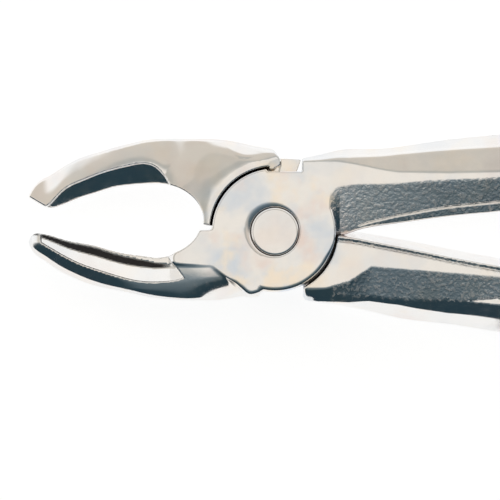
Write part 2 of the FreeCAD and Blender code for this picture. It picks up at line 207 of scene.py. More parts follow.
# Handles: (x, inner y), (x, outer y), (x, height)
NEAR_ARM = dict(
    inner=((4.0, -0.9), (9.5, -0.75), (12.0, -0.55), (14.0, 0.1), (17.5, 0.85), (21.2, 1.35),
           (29.7, 2.5), (38.0, 3.3), (55.0, 6.2), (75.0, 9.4), (95.0, 11.3), (113.0, 11.4),
           (131.0, 10.2)),
    outer=((4.0, 12.4), (7.7, 13.15), (11.0, 13.95), (14.0, 14.2), (17.9, 14.25), (22.9, 14.85),
           (29.7, 15.85), (38.0, 16.7), (55.0, 19.0), (75.0, 21.2), (95.0, 22.0), (113.0, 21.3),
           (131.0, 19.8)),
)
FAR_ARM = dict(
    inner=((4.0, -0.6), (9.5, -0.35), (12.0, -0.25), (14.3, 0.0), (17.5, 0.55), (21.0, 1.15),
           (28.0, 2.5), (38.0, 4.4), (55.0, 7.1), (75.0, 10.1), (95.0, 11.9), (113.0, 11.9),
           (131.0, 10.6)),
    outer=((4.0, 11.45), (6.0, 11.9), (9.0, 12.3), (12.0, 12.8), (17.0, 13.9), (21.2, 14.9),
           (29.7, 15.95), (38.0, 17.3), (55.0, 19.6), (75.0, 21.8), (95.0, 22.5), (113.0, 21.7),
           (131.0, 20.1)),
)
ARM_HEIGHT = ((4.0, 10.0), (21.0, 10.0), (38.0, 9.7), (75.0, 8.9), (113.0, 8.4), (131.0, 8.2))
ARM_END_X = 131.2

# Corners of a handle's section from the inside out: (x, share of the width), (x, drop below the crown).
CROWN = (
    (((4.0, 0.0), (140.0, 0.0)),
     ((9.2, 5.0), (11.0, 2.0), (14.0, 2.1), (17.0, 2.12), (21.0, 2.2), (140.0, 2.25))),
    (((9.4, 0.01), (12.7, 0.03), (17.0, 0.06), (21.0, 0.09), (29.7, 0.112), (38.0, 0.116),
      (140.0, 0.116)),
     ((9.2, 0.0), (11.0, 1.75), (14.0, 1.8), (21.0, 1.65), (38.0, 1.6), (140.0, 1.6))),
    (((4.0, 0.58), (12.7, 0.586), (21.0, 0.53), (29.7, 0.467), (38.0, 0.433), (140.0, 0.42)),
     ((4.0, 0.0), (140.0, 0.0))),
    (((4.0, 0.965), (12.7, 0.814), (21.0, 0.65), (29.7, 0.553), (38.0, 0.507), (140.0, 0.5)),
     ((4.0, 0.0), (140.0, 0.0))),
    (((4.0, 0.975), (12.7, 0.897), (21.0, 0.9), (29.7, 0.86), (38.0, 0.836), (140.0, 0.83)),
     ((4.0, 0.03), (12.7, 0.32), (21.0, 0.89), (29.7, 1.1), (38.0, 1.18), (140.0, 1.18))),
    (((4.0, 1.0), (140.0, 1.0)),
     ((4.0, 0.6), (12.7, 1.9), (21.0, 2.4), (29.7, 3.3), (38.0, 3.7), (140.0, 3.7))),
)

# The same from the outside in across the back: (x, share of the width), (x, rise above the back).
BACK = (
    (((4.0, 1.0), (9.0, 0.99), (12.7, 0.95), (16.0, 0.88), (21.0, 0.84), (29.7, 0.855), (38.0, 0.8),
      (140.0, 0.8)),
     ((4.0, 1.3), (9.0, 1.6), (12.7, 2.1), (16.0, 2.5), (21.0, 2.8), (29.7, 3.5), (38.0, 3.4),
      (140.0, 3.4))),
    (((4.0, 0.93), (9.0, 0.9), (12.7, 0.86), (16.0, 0.8), (21.0, 0.76), (29.7, 0.675), (38.0, 0.63),
      (140.0, 0.63)),
     ((4.0, 0.7), (9.0, 0.9), (12.7, 1.3), (16.0, 1.75), (21.0, 1.95), (29.7, 1.75), (38.0, 1.55),
      (140.0, 1.55))),
    (((4.0, 0.88), (6.3, 0.855), (9.35, 0.768), (12.7, 0.656), (14.8, 0.519), (16.5, 0.407),
      (21.2, 0.367), (29.7, 0.314), (38.0, 0.248), (140.0, 0.248)),
     ((4.0, 0.0), (140.0, 0.0))),
    (((4.0, 0.02), (9.0, 0.06), (10.4, 0.09), (15.3, 0.1), (21.2, 0.106), (29.7, 0.117), (140.0, 0.117)),
     ((4.0, 0.0), (140.0, 0.0))),
)

SEAM_WIDTH = 0.85        # forging seam beside the back's inner edge
SEAM_FALL = 0.55
GROOVE_STEEP = 3.0       # the steep wall of a handle's grooves
RIDGE_WIDTH = 0.3        # forging line along the crown's inner ridge
RIDGE_START_X = (11.0, 15.0)
STREAK_WIDTH = ((31.0, 0.0), (33.0, 0.15), (38.0, 1.2), (60.0, 1.3), (75.0, 0.0), (140.0, 0.0))
STREAK_START_X = (31.0, 33.0)
GROOVE_FALL = 0.6
ARM_ROUND = 0.45
ARM_LEAST_BEND = 0.02
ARM_END_ROUND = 5.0

# Painted shade, darkening the gaps and recesses: beside the plate, around the screw, at the skirt's foot,
# in the lower beak's ditch and on its tip. A range is (starts, full, still full, ends).
SLOT_UPPER_DEG = (94.5, 96.5, 174.0, 177.0)
SLOT_LOWER_DEG = (300.0, 305.0)
SLOT_LOWER_SHARE = 0.7
SLOT_R = (-0.3, -0.1, 0.8, 1.0)
SLOT_Z = (3.5, 4.5, 9.0, 9.6)
RING_R = (HEAD_R - 0.15, HEAD_R, SEAT_R + 0.2, SEAT_R + 0.35)
RING_Z = (9.4, 9.8)
RING_LEAST = 0.25        # thinnest on the handles' side
RING_LEAN = 0.35         # the thick side lies a little below the axis
RING_FAN = 1.5           # and widens this fast
RING_FAN_FROM = 1.0
RING_SIDE = (-1.5, 2.5)
RING_SHARE = 0.8
FOOT_WIDTH = (0.2, 0.5)
FOOT_X = (-7.6, -6.4)
FOOT_Y = (-6.8, -5.8)
FOOT_Z = (5.0, 6.0, 9.6, 9.85)
FOOT_SHARE = 0.8
DITCH_START = 0.06       # past the lip, as a share of the channel's width
DITCH_END = (0.4, 0.46)
DITCH_X = (-40.2, -39.6, -19.5, -17.5)
DITCH_Z = (0.8, 1.2)
DITCH_SHARE = 0.96
CAP_WIDTH = (0.1, 0.4)
CAP_X = (-40.6, -40.0)
CAP_Y = (-2.5, -2.0, 0.5, 1.0)

# Where the forged skin shows: on facets that lean this much and face up this much
PIT_LEAN = (0.1, 0.25)
PIT_UP = (0.8, 0.88)
PIT_HANDLE_X = (9.2, 10.0)
PIT_DEEPER_X = (14.0, 38.0)
PIT_HANDLE = 0.8
PIT_DEEPER = 0.3
PIT_ROOT = 0.15
PIT_ROOT_X = (-17.5, -13.0, -8.0, -6.0)
PIT_ROOT_Y = (-6.5, -5.4)
TINT_LEAST = 0.3         # painted coloured reflections away from the joint
TINT_R = (10.0, 14.0)

# Materials. Noise sizes are in millimetres; an offset sets two noises apart.
STEEL = (0.88, 0.87, 0.855)
DULL_STEEL = (0.5, 0.52, 0.53)
# near-black colour of the painted shade in gaps and recesses
PAINTED_SHADE_COLOUR = (0.012, 0.009, 0.011)
# Painted coloured reflections: size, offset, threshold, colour
REFLECTION_TINTS = (
    (8.0, 3.1, 0.42, (0.68, 0.745, 0.83)),
    (6.5, 11.7, 0.45, (0.84, 0.73, 0.69)),
    (5.0, 23.4, 0.48, (0.93, 0.84, 0.72)),
)
TINT_SPREAD = 0.25
TINT_DETAIL = 3.0
HALF_TINT = 1.0
SCREW_TINT = 0.3
HALF_ROUGHNESS = 0.12
SCREW_ROUGHNESS = 0.14
SPECK = (0.62, 2.0, 5.5)             # size, detail, offset
PATCHES = (2.6, 2.0, 31.0)
SMEARS = (1.4, 3.0, 7.9)
WAVES = (3.0, 1.0, 17.0)
DULL_AT = (0.5, 0.66, 0.0, 0.75)     # from low and high noise to no and full dullness
PATCHES_AT = (0.35, 0.65, 0.35, 1.0)
DULL_METAL = 0.9
# metal, specular and roughness inside the painted shade, and specular outside it
PAINTED_SHADE_METAL = 0.1
UNSHADED_SPECULAR = 0.5
PAINTED_SHADE_SPECULAR = 0.1
PAINTED_SHADE_ROUGHNESS = 0.6
SMEAR_RANGE = (0.3, 0.7)
SMEAR_LEAST = 0.7
SMEAR_MOST = 1.4
PIT_ROUGHNESS = 0.08
PIT_DEPTH = 0.0001       # metres
POLISH_WAVE = 0.00003    # metres

# Floor, in metres
FLOOR_SIZE = 4.0
FLOOR_Z = -0.0005
FLOOR_GREY = (0.3, 0.3, 0.3, 1)
FLOOR_ROUGHNESS = 0.9
FLOOR_GLOW = 0.86

# Light from the sky by its angle from straight up, in degrees
WARM_WHITE = (0.93, 0.885, 0.82)
LIT_SKY = (
    (0, WARM_WHITE), (13, WARM_WHITE), (18, (0.5, 0.5, 0.47)), (25, (0.5, 0.49, 0.45)),
    (31, (0.68, 0.63, 0.56)), (48, (0.7, 0.65, 0.58)), (58, (1.04, 1.03, 1.01)), (89, (1.12, 1.12, 1.11)),
)
DARK_SKY = (
    (0, WARM_WHITE), (13, (0.8, 0.8, 0.77)), (22, (0.26, 0.31, 0.34)), (33, (0.13, 0.17, 0.19)),
    (46, (0.09, 0.125, 0.145)), (56, (0.025, 0.05, 0.065)), (89, (0.02, 0.04, 0.055)),
)
SHADE_TO_RIGHT = 0.45    # the dark side reaches round this far towards the handles
SHADE_EDGE = (-0.42, -0.22)

# Camera
CAMERA_HEIGHT = 1.2      # metres
VIEW_WIDTH = 0.085       # metres across at the joint's near face
VIEW_MID = (-4.25, -3.15)
SENSOR_WIDTH = 36.0
CLIP_END = 10.0


# ---------------------------------------------------------------- shapes as signed distances

def curve(knots, smooth=True):
    """A function of x through the knots: a natural cubic, or straight lines."""
    xs, ys = np.array(knots, dtype=float).T
    count = len(xs)
    bend = np.zeros(count)
    if smooth and count > 2:
        steps = np.diff(xs)
        slopes = np.diff(ys) / steps
        system = np.zeros((count, count))
        system[0, 0] = system[-1, -1] = 1.0
        right = np.zeros(count)
        for i in range(1, count - 1):
            system[i, i - 1:i + 2] = steps[i - 1], 2 * (steps[i - 1] + steps[i]), steps[i]
            right[i] = 6 * (slopes[i] - slopes[i - 1])
        bend = np.linalg.solve(system, right)

    def value(x):
        x = np.clip(x, xs[0], xs[-1])
        i = np.clip(np.searchsorted(xs, x) - 1, 0, count - 2)
        h = xs[i + 1] - xs[i]
        t = (x - xs[i]) / h
        s = 1 - t
        return s * ys[i] + t * ys[i + 1] + h * h / 6 * ((s ** 3 - s) * bend[i] + (t ** 3 - t) * bend[i + 1])

    return value


def smax(a, b, k):
    """The larger of two distances, rounded over the width k: an intersection."""
    h = np.maximum(k - np.abs(a - b), 0.0) / k
    return np.maximum(a, b) + h * h * (k / 4)


def smin(a, b, k):
    """The smaller of two distances, rounded over the width k: a union."""
    h = np.maximum(k - np.abs(a - b), 0.0) / k
    return np.minimum(a, b) - h * h * (k / 4)


def cut(a, b, k):
    """The first shape without the second."""
    return smax(a, -b, k)


def line(x, y, start, end):
    """Distance from a straight line, positive on its right seen from start to end."""
    dx, dy = end[0] - start[0], end[1] - start[1]
    length = math.hypot(dx, dy)
    return ((x - start[0]) * dy - (y - start[1]) * dx) / length


def convex(x, y, corners, k):
    """A convex outline through counter-clockwise corners, with rounded corners."""
    shape = None
    for index, start in enumerate(corners):
        side = line(x, y, start, corners[(index + 1) % len(corners)])
        shape = side if shape is None else smax(shape, side, k)
    return shape


def ramp(value, low, high):
    """Goes smoothly from 0 at low to 1 at high."""
    t = np.clip((value - low) / (high - low), 0.0, 1.0)
    return t * t * (3 - 2 * t)


def within(value, span):
    """1 inside a range (starts, full, still full, ends), 0 outside."""
    return ramp(value, span[0], span[1]) * (1 - ramp(value, span[2], span[3]))


def degrees(x, y):
    return np.degrees(np.arctan2(y, x)) % 360


def plate_radius(x, y):
    """The near plate's radius, wider under the upper shoulder."""
    wide = within(degrees(x, y), PLATE_WIDE_DEG)
    return PLATE_R + (PLATE_R_WIDE - PLATE_R) * wide


def skirt(x, y):
    """The near plate's outline over the lower beak's root."""
    strip = smax(smax(SKIRT_Y - y, x - ROOT_END_X, EASED), y - ROOT_TOP_Y, EASED)
    strip = smax(strip, -lower_beak.pocket(x, BEAK_MID - y), SKIRT_ROUND)
    strip = smax(strip, SKIRT_END_X - x, WIDE)
    return smin(strip, convex(x, y, SKIRT_CORNER, BLUNT), EASED)


class Beak:
    """One beak with its root, out to the hinge."""

    def __init__(self, sizes):
        self.sizes = sizes
        self.sign = sizes["sign"]
        for name, knots in sizes.items():
            if isinstance(knots, tuple) and name not in ("tip", "channel_end"):
                setattr(self, name, curve(knots))

    def pocket(self, x, v):
        """The crown pocket between the beaks, seen from the near side."""
        dx = np.maximum(x - POCKET_MID_X, 0.0)
        reach = self.far_rim(np.minimum(x, POCKET_MID_X))
        s = np.sqrt((dx / POCKET_RX) ** 2 + (v / reach) ** 2) + SMALL
        grow = np.sqrt((dx / POCKET_RX ** 2) ** 2 + (v / reach ** 2) ** 2) / s + SMALL
        return (s - 1) / grow

    def channel_floor(self, x, past_rim, width):
        """Height of the channel's floor: straight up from the lip, or first down into a ditch."""
        lip = self.lip(x)
        rise = self.sizes["rise"]
        if "lip_share" not in self.sizes:
            return lip + rise * past_rim
        lip_share = self.lip_share(x)
        past_lip = past_rim - lip_share * width
        ditch_share = self.sizes["ditch_share"]
        low = lip - DITCH_FALL * (ditch_share - lip_share) * width
        falling = lip - DITCH_FALL * np.maximum(past_lip, 0.0)
        rising = low + rise * (past_rim - ditch_share * width)
        return smax(falling, rising, BROKEN)

    def channel(self, x, v, z):
        """The hollow between the near rim and the far rim."""
        far = self.far_rim(np.minimum(x, POCKET_MID_X))
        width = np.maximum(self.near_rim(x) - far, NARROWEST)
        floor_z = self.channel_floor(x, v - far, width)
        hollow = smax((floor_z - z) / math.hypot(1, self.sizes["rise"]), v - self.near_rim(x), BROKEN)
        hollow = smax(hollow, self.sizes["channel_from"] - x, EASED)
        return smax(hollow, line(x, self.sign * v + BEAK_MID, *self.sizes["channel_end"]), BROKEN)

    def section(self, x, v, z):
        """The rounded back, a superellipse."""
        radius = self.radius(x)
        half = self.top(x) / 2
        n = BEAK_SQUARENESS
        dv = np.maximum(v - (self.outer(x) - radius), 0.0) / radius
        dz = np.abs(z - half) / half
        s = (dv ** n + dz ** n + TINY) ** (1 / n)
        steep_v = (dv / s) ** (2 * n - 2) / radius ** 2
        steep_z = (dz / s) ** (2 * n - 2) / half ** 2
        return (s - 1) / np.sqrt(steep_v + steep_z + SMALL)

    def face(self, x, v, z):
        """The near face, which falls away past its edge and rolls over at its rim."""
        past_edge = np.maximum(v - self.edge(x), 0.0)
        slope = self.slope(x)
        drop = slope * past_edge + self.bend(x) * past_edge ** 2
        if "rim" in self.sizes:
            drop = drop + self.roll(x) * np.maximum(v - self.outer(x) + self.rim(x), 0.0) ** 2
        return (z - self.top(x) + drop) / np.sqrt(1 + slope * slope)

    def __call__(self, x, y, z):
        v = self.sign * (y - BEAK_MID)
        body = smax(self.section(x, v, z), self.face(x, v, z), BLUNT)
        body = smax(body, -self.pocket(x, v), EASED)
        body = smax(body, -self.channel(x, v, z), FINE_ROUND)
        return smax(body, line(x, y, *self.sizes["tip"]), self.sizes["tip_round"])


def groove(into, across, depth, place, fall_in, fall_out):
    """A V-shaped groove seen in section, from its depth and place and the slopes of its two walls."""
    wall_in = (into - depth - fall_in * (across - place)) / np.hypot(1, fall_in)
    wall_out = (into - depth + fall_out * (across - place)) / np.hypot(1, fall_out)
    return np.maximum(wall_in, wall_out)


class Arm:
    """A handle with its crowned face up and its inner side towards y = 0."""

    def __init__(self, sizes):
        self.inner, self.outer = curve(sizes["inner"]), curve(sizes["outer"])
        self.height = curve(ARM_HEIGHT, smooth=False)
        self.streak = curve(STREAK_WIDTH, smooth=False)
        self.crown = [[curve(knots, smooth=False) for knots in corner] for corner in CROWN]
        self.back = [[curve(knots, smooth=False) for knots in corner] for corner in BACK]

    def section(self, across, z, corners):
        """The convex section through its corners."""
        edges = []
        for index, (place, level) in enumerate(corners):
            place1, level1 = corners[(index + 1) % len(corners)]
            dy, dz = place1 - place, level1 - level
            length = np.sqrt(dy * dy + dz * dz) + TINY
            edges.append((dy / length, dz / length, place, level))
        shape = None
        for index, (dy, dz, place, level) in enumerate(edges):
            side = (z - level) * dy - (across - place) * dz
            if shape is None:
                shape = side
                continue
            last_dy, last_dz = edges[index - 1][:2]
            bend = np.abs(dy * last_dz - dz * last_dy)
            shape = smax(shape, side, ARM_ROUND * np.clip(bend, ARM_LEAST_BEND, 1.0))
        return shape

    def grooves(self, x, across, z, height, corners):
        """The forging seam on the back, the flat streak beside it and the line along the crown."""
        place, level = corners[-1]
        depth = level + SEAM_FALL * SEAM_WIDTH
        seam = groove(z, across, depth, place + SEAM_WIDTH, SEAM_FALL, GROOVE_STEEP)
        place, level = corners[len(CROWN) + 1]
        streak = groove(z, across, level, place - self.streak(x), GROOVE_STEEP, 0.0)
        streak = streak + 1 - ramp(x, *STREAK_START_X)
        place, level = corners[1]
        depth = height - level + GROOVE_FALL * RIDGE_WIDTH
        ridge = groove(height - z, across, depth, place + RIDGE_WIDTH, GROOVE_FALL, GROOVE_STEEP)
        ridge = ridge + 1 - ramp(x, *RIDGE_START_X)
        return seam, streak, ridge

    def __call__(self, x, y, z):
        inner, height = self.inner(x), self.height(x)
        width = self.outer(x) - inner
        across = y - inner
        corners = [(share(x) * width, height - drop(x)) for share, drop in self.crown]
        corners += [(share(x) * width, rise(x)) for share, rise in self.back]
        shape = self.section(across, z, corners)
        for hollow in self.grooves(x, across, z, height, corners):
            shape = smax(shape, -hollow, SHARP)
        return smax(shape, x - ARM_END_X, ARM_END_ROUND)


upper_beak = Beak(UPPER)
lower_beak = Beak(LOWER)
near_arm = Arm(NEAR_ARM)
far_arm = Arm(FAR_ARM)


def far_room(x, y, z, r):
    """The room that the far half needs in the near one."""
    disc = smax(r - FAR_R - SHOULDER_GAP, z - LAP_NEAR, SHARP)
    turn = math.radians(SWEEP_DEG)
    past_sweep = x * math.sin(turn) - y * math.cos(turn)
    sweep = np.maximum(z - LAP_NEAR, np.maximum(past_sweep, -y))
    return np.minimum(disc, sweep)


def countersink(x, y, z, centre, width, fall):
    """A shallow cone around the screw's seat."""
    past = np.hypot(x - centre[0], y - centre[1]) - SEAT_R - width
    return (past * fall + JOINT_T - z) / math.hypot(1, fall)


def near_half(x, y, z):
    """Near plate, lower beak and upper handle."""
    r = np.hypot(x, y)
    arm = root = FAR_AWAY
    if np.max(x) > 0:
        arm = smax(near_arm(x, y, z), NEAR_ARM_FROM_X - x, EASED)
    if np.min(x) < 0:
        root = smax(lower_beak(x, y, z), x - ROOT_END_X, EASED)
        root = smax(root, y - ROOT_TOP_Y, EASED)
    room = far_room(x, y, z, r)
    root = cut(root, room, SHARP)
    arm = cut(arm, room, SHARP)
    outline = smin(r - plate_radius(x, y), skirt(x, y), EASED)
    edge = PLATE_EDGE + PLATE_EDGE_MORE * (1 - ramp(y, *PLATE_EDGE_Y)) * ramp(x, *PLATE_EDGE_X)
    plate = smax(smax(outline, z - JOINT_T, edge), LAP_NEAR - z, SHARP)
    body = smax(smin(np.minimum(plate, arm), root, ROOT_FILLET), z - JOINT_T - FACE_ABOVE, FACE_ROUND)
    notch = convex(x, y, NOTCH, EASED)
    body = cut(body, smax(notch, LAP_FAR - z, SHARP), EASED)
    seat = smax(r - SEAT_R, JOINT_T - HEAD_H - SCREW_PLAY - z, SHARP)
    seat = smin(seat, countersink(x, y, z, SEAT_CONE_AT, SEAT_CONE, SEAT_FALL), FINE_ROUND)
    seat = smin(seat, countersink(x, y, z, WORN_AT, WORN_WIDTH, WORN_FALL), EASED)
    return cut(body, np.minimum(seat, r - SHANK_HOLE_R), BROKEN)


def far_half(x, y, z):
    """Far disc, upper beak with the stop hook, lower handle."""
    r = np.hypot(x, y)
    arm = root = FAR_AWAY
    if np.max(x) > FAR_PARTS_MEET_X:
        arm = smax(far_arm(x, -y, JOINT_T - z), FAR_ARM_FROM_X - x, WIDE)
    if np.min(x) < FAR_PARTS_MEET_X:
        turn = math.radians(CLOSED_FACE_DEG)
        face = x * math.sin(turn) - y * math.cos(turn)
        root = smax(upper_beak(x, y, z), np.minimum(x - ROOT_END_X, convex(x, y, HOOK, BLUNT)), SOFT)
        root = smax(root, -face, EASED)
        reach = BAND_REACH + (BAND_REACH_TOP - BAND_REACH) * ramp(x, *BAND_TURN_X)
        band = z - JOINT_T + BAND_FALL * np.clip(r - BAND_R, 0.0, reach)
        root = smax(root, band / math.hypot(1, BAND_FALL), EASED)
    near_room = smax(r - plate_radius(x, y) - SHOULDER_GAP, LAP_FAR - z, SHARP)
    body = cut(np.minimum(root, arm), near_room, EASED)
    disc = smax(smax(r - FAR_R, z - LAP_FAR, SHARP), -z, SOFT)
    tab = smax(smax(convex(x, y, TAB, EASED), z - LAP_FAR, SHARP), -z, SOFT)
    nib = smax(smax(convex(x, y, NIB, FINE_ROUND), z - JOINT_T, SHARP), LAP_NEAR - z, SHARP)
    body = smin(body, np.minimum(np.minimum(disc, tab), nib), EASED)
    past = np.maximum(line(x, y, *HOOK_WORN_LINE), 0.0) * ramp(x, *HOOK_WORN_X) * ramp(y, *HOOK_WORN_Y)
    body = smax(body, (z - JOINT_T + HOOK_FALL * past) / math.hypot(1, HOOK_FALL), SHARP)
    return cut(body, r - FOOT_R, BROKEN)


def joint_screw(x, y, z):
    """Round slotless head, shank and foot."""
    r = np.hypot(x, y)
    head = smax(smax(r - HEAD_R, z - JOINT_T, HEAD_ROUND), JOINT_T - HEAD_H - z, FINE_ROUND)
    shank = smax(r - SHANK_HOLE_R + SCREW_PLAY, LAP_NEAR - z, SHARP)
    stem = smax(smax(np.minimum(shank, r - FOOT_R), -z, EASED), z - JOINT_T + STEM_TOP_DROP, SHARP)
    return smin(head, stem, FINE_ROUND)


# ---------------------------------------------------------------- meshing

def at(shape, points):
    """The distances at points that are sorted by x."""
    return np.concatenate([shape(*part.T) for part in np.array_split(points, SLABS)])


def gradient(shape, points):
    """The slope of a distance at points."""
    result = np.empty_like(points)
    for axis in range(3):
        shift = np.zeros(3)
        shift[axis] = SLOPE_STEP
        result[:, axis] = (at(shape, points + shift) - at(shape, points - shift)) / (2 * SLOPE_STEP)
    return result


def onto_surface(shape, points, rounds, reach):
    """Moves points straight onto the zero surface."""
    for _ in range(rounds):
        slope = gradient(shape, points)
        steep = np.maximum((slope ** 2).sum(1), LEAST_STEEP)
        move = (-at(shape, points) / steep)[:, None] * slope
        length = np.linalg.norm(move, axis=1, keepdims=True)
        points = points + move * np.minimum(1.0, reach / np.maximum(length, TINY))
    return points


def crossed_cells(inside):
    """The grid cells that the surface crosses."""
    nx, ny, nz = inside.shape
    counts = sum(inside[i:i + nx - 1, j:j + ny - 1, k:k + nz - 1].astype(np.int8) for i, j, k in CORNERS)
    return np.argwhere((counts > 0) & (counts < len(CORNERS)))


def cell_points(values, axes, cells):
    """One point in each cell: the mean of the places where its edges cross the surface."""
    total = np.zeros((len(cells), 3))
    hits = np.zeros(len(cells))
    for first in CORNERS:
        for axis in range(3):
            if first[axis]:
                continue
            second = tuple(1 if a == axis else first[a] for a in range(3))
            start_at = tuple((cells + first).T)
            end_at = tuple((cells + second).T)
            a, b = values[start_at], values[end_at]
            crossed = (a < 0) != (b < 0)
            share = np.where(crossed, a / np.where(crossed, a - b, 1.0), 0.0)
            for d in range(3):
                start, end = axes[d][start_at[d]], axes[d][end_at[d]]
                total[:, d] += np.where(crossed, start + share * (end - start), 0.0)
            hits += crossed
    return total / hits[:, None]


def net(values, axes):
    """Vertices and quads of the zero surface on a grid: one vertex in each cell that it crosses."""
    inside = values < 0
    cells = crossed_cells(inside)
    number = np.full([count - 1 for count in values.shape], -1, dtype=np.int64)
    number[tuple(cells.T)] = np.arange(len(cells))
    quads = []
    for axis in range(3):
        u, w = (axis + 1) % 3, (axis + 2) % 3
        low = [slice(None)] * 3
        high = [slice(None)] * 3
        low[axis], high[axis] = slice(0, -1), slice(1, None)
        places = np.argwhere(inside[tuple(low)] != inside[tuple(high)])
        keep = (places[:, u] > 0) & (places[:, u] < values.shape[u] - 1)
        keep &= (places[:, w] > 0) & (places[:, w] < values.shape[w] - 1)
        places = places[keep]
        outward = inside[tuple(places.T)]
        ring = []
        for du, dw in ((-1, -1), (0, -1), (0, 0), (-1, 0)):
            cell = places.copy()
            cell[:, u] += du
            cell[:, w] += dw
            ring.append(number[tuple(cell.T)])
        ring = np.stack(ring, axis=1)
        quads.append(np.where(outward[:, None], ring, ring[:, ::-1]))
    return cell_points(values, axes, cells), np.concatenate(quads)


def relaxed(shape, points, quads, rounds):
    """Evens out the quads while the points stay on the surface."""
    ends = np.concatenate([quads[:, [i, (i + 1) % 4]] for i in range(4)])
    ends = np.concatenate([ends, ends[:, ::-1]])
    degree = np.bincount(ends[:, 0], minlength=len(points))
    for _ in range(rounds):
        mean = np.stack([
            np.bincount(ends[:, 0], weights=points[ends[:, 1], axis], minlength=len(points)) / degree
            for axis in range(3)
        ], axis=1)
        points = onto_surface(shape, (points + mean) / 2, RELAX_PULLS, CELL)
    return points


def spaced(low, high, cell):
    return np.linspace(low, high, int(math.ceil((high - low) / cell)) + 1)


def spaced_along(low, high):
    """Grid planes across x: even at the joint, wider along the handles, close again at their ends."""
    xs = spaced(low, min(high, HANDLE_FROM_X), CELL)
    if high <= HANDLE_FROM_X:
        return xs
    grown = [xs[-1]]
    cell = CELL
    while grown[-1] < high:
        cell = min(CELL_HANDLE, cell * CELL_GROWTH)
        if grown[-1] > ARM_END_X - END_LENGTH:
            cell = CELL_END
        grown.append(grown[-1] + cell)
    return np.concatenate([xs, grown[1:]])


def carve(name, shape, box, body, node, material):
    """Meshes a shape inside a box and makes it a piece that stands for its CAD node."""
    (x0, y0, z0), (x1, y1, z1) = box
    xs, ys, zs = spaced_along(x0, x1), spaced(y0, y1, CELL), spaced(z0, z1, CELL)
    values = np.concatenate([
        np.broadcast_to(shape(part[:, None, None], ys[None, :, None], zs[None, None, :]),
                        (len(part), len(ys), len(zs)))
        for part in np.array_split(xs, SLABS)
    ])
    points, quads = net(values, (xs, ys, zs))
    points = onto_surface(shape, points, PULL_ROUNDS, CELL)
    points = relaxed(shape, points, quads, RELAX_ROUNDS)
    points[:, 2] = np.clip(points[:, 2], 0.0, JOINT_T)
    normals = gradient(shape, points)
    normals /= np.linalg.norm(normals, axis=1, keepdims=True) + TINY
    mesh = bpy.data.meshes.new(name)
    mesh.from_pydata((points * MM).tolist(), [], quads.tolist())
    mesh.polygons.foreach_set("use_smooth", np.ones(len(quads), dtype=bool))
    mesh.normals_split_custom_set_from_vertices(normals.tolist())
    x, y, z = points.T
    amounts = {"grime": grime(x, y, z), "pitting": pitting(x, y, *normals.T), "reflection_tinting": reflection_tinting(x, y)}
    for label, amount in amounts.items():
        mesh.attributes.new(label, "FLOAT", "POINT").data.foreach_set("value", amount.astype(np.float32))
    mesh.materials.append(material)
    piece = bpy.data.objects.new(name, mesh)
    bpy.context.scene.collection.objects.link(piece)
    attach(piece, body)
    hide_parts(node)
    print(name, len(points), "points", len(quads), "quads")


def slot_shade(x, y, z, r):
    """Painted shade in the slots beside the joint plate."""
    turn = degrees(x, y)
    around = np.maximum(within(turn, SLOT_UPPER_DEG), SLOT_LOWER_SHARE * ramp(turn, *SLOT_LOWER_DEG))
    return within(r - plate_radius(x, y), SLOT_R) * around * within(z, SLOT_Z)


def ring_shade(x, y, z, r):
    """Painted shade around the screw head, thinner on the handles' side."""
    beak_side = ramp(RING_FAN * (np.abs(y) - RING_FAN_FROM) - x - RING_LEAN * y, *RING_SIDE)
    around = RING_LEAST + (1 - RING_LEAST) * beak_side
    return within(r, RING_R) * (1 - ramp(z, *RING_Z)) * around


def foot_shade(x, y, z):
    """Painted shade at the foot of the skirt."""
    foot = (1 - ramp(np.abs(skirt(x, y)), *FOOT_WIDTH)) * within(z, FOOT_Z)
    return foot * (1 - ramp(y, *FOOT_Y)) * (1 - ramp(x, *FOOT_X))


def ditch_shade(x, y, z):
    """Painted shade in the lower beak's ditch and on the inner edge of its tip."""
    far = lower_beak.far_rim(x)
    share = (BEAK_MID - y - far) / np.maximum(lower_beak.near_rim(x) - far, NARROWEST)
    start = lower_beak.lip_share(x)
    ditch = ramp(share, start, start + DITCH_START) * (1 - ramp(share, *DITCH_END)) * ramp(z, *DITCH_Z)
    ditch = ditch * within(x, DITCH_X)
    cap = (1 - ramp(share, *CAP_WIDTH)) * (1 - ramp(x, *CAP_X)) * within(y, CAP_Y)
    return np.maximum(ditch, cap)


def grime(x, y, z):
    """Where shade is painted into the gaps and recesses, from 0 to 1."""
    r = np.hypot(x, y)
    joint = np.maximum(slot_shade(x, y, z, r), RING_SHARE * ring_shade(x, y, z, r))
    beak = np.maximum(FOOT_SHARE * foot_shade(x, y, z), DITCH_SHARE * ditch_shade(x, y, z))
    return np.maximum(joint, beak)


def pitting(x, y, along, across, up):
    """Where the forged skin still shows through the polish: the hollow facets and the lower root."""
    lean = -across * np.sign(up) + np.maximum(along, 0.0)
    facets = ramp(lean, *PIT_LEAN) * ramp(np.abs(up), *PIT_UP)
    handles = ramp(x, *PIT_HANDLE_X) * (PIT_HANDLE + PIT_DEEPER * ramp(x, *PIT_DEEPER_X))
    root = PIT_ROOT * within(x, PIT_ROOT_X) * (1 - ramp(y, *PIT_ROOT_Y))
    return facets * np.maximum(handles, root)


def reflection_tinting(x, y):
    """Where coloured reflections are painted on the polish: mostly on the joint's plate."""
    return TINT_LEAST + (1 - TINT_LEAST) * (1 - ramp(np.hypot(x, y), *TINT_R))


# ---------------------------------------------------------------- materials

def shader(name):
    """A new node material, with its tree and its surface."""
    material = bpy.data.materials.new(name)
    material.use_nodes = True
    tree = material.node_tree
    return material, tree, tree.nodes["Principled BSDF"]


def add(tree, kind, **settings):
    """A new node with its inputs or properties set."""
    node = tree.nodes.new(kind)
    for key, value in settings.items():
        if key in node.inputs:
            node.inputs[key].default_value = value
        else:
            setattr(node, key, value)
    return node


